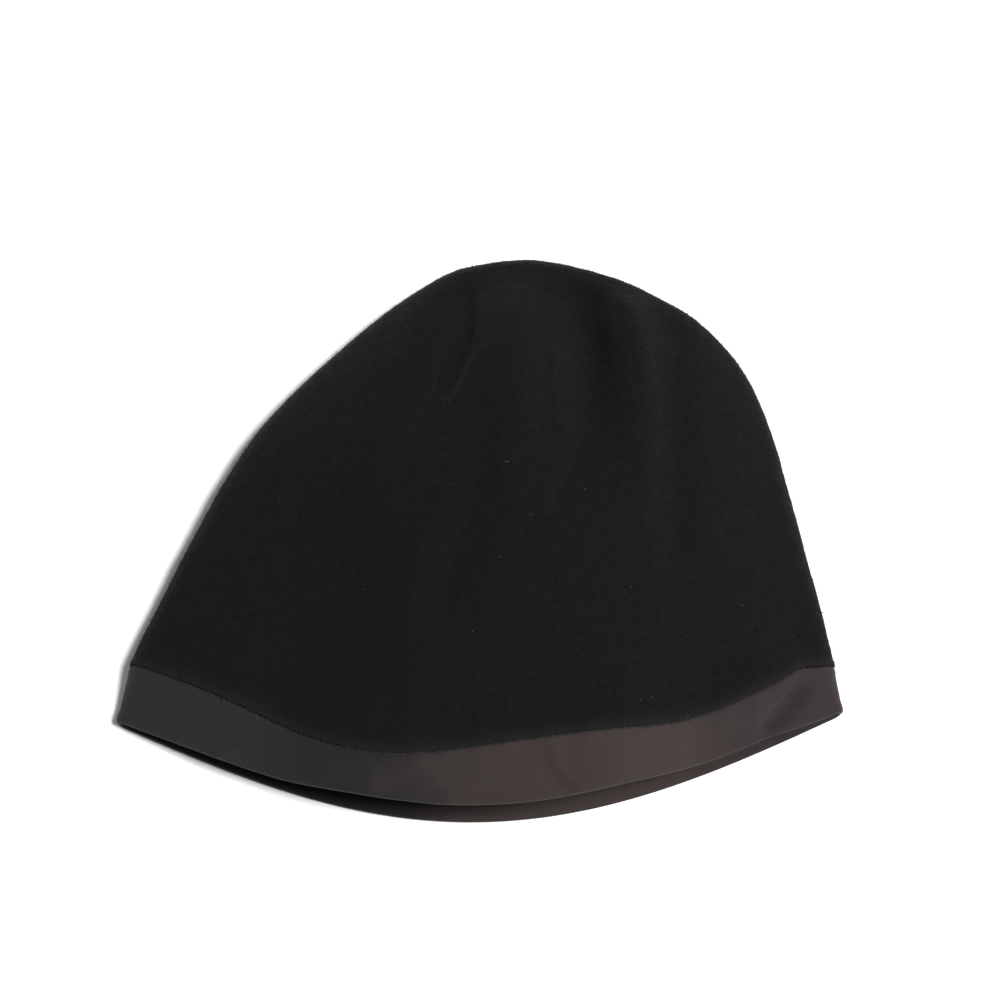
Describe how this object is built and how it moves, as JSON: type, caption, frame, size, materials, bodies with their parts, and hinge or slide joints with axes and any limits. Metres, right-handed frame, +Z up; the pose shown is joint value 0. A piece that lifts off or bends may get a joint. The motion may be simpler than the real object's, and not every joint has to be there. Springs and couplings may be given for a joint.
{
  "type": "fleece hat",
  "caption": "Soft fleece hat with a darted crown and a folded stretch-knit band round its rim, lying on its back on a flat surface with the rim open.",
  "frame": {"origin": "on the surface that the hat lies on, under the middle of its outline", "axes": "+Z up from the surface, +Y from the rim to the top of the crown, +X across the rim to the right of the front wall"},
  "size_m": [0.2662, 0.225, 0.0477],
  "materials": {
    "fleece": "napped, matt",
    "band_knit": "fine rib knit, matt"
  },
  "bodies": {
    "root": {"crown": "fleece", "rim_band": "band_knit"}
  },
  "joints": []
}
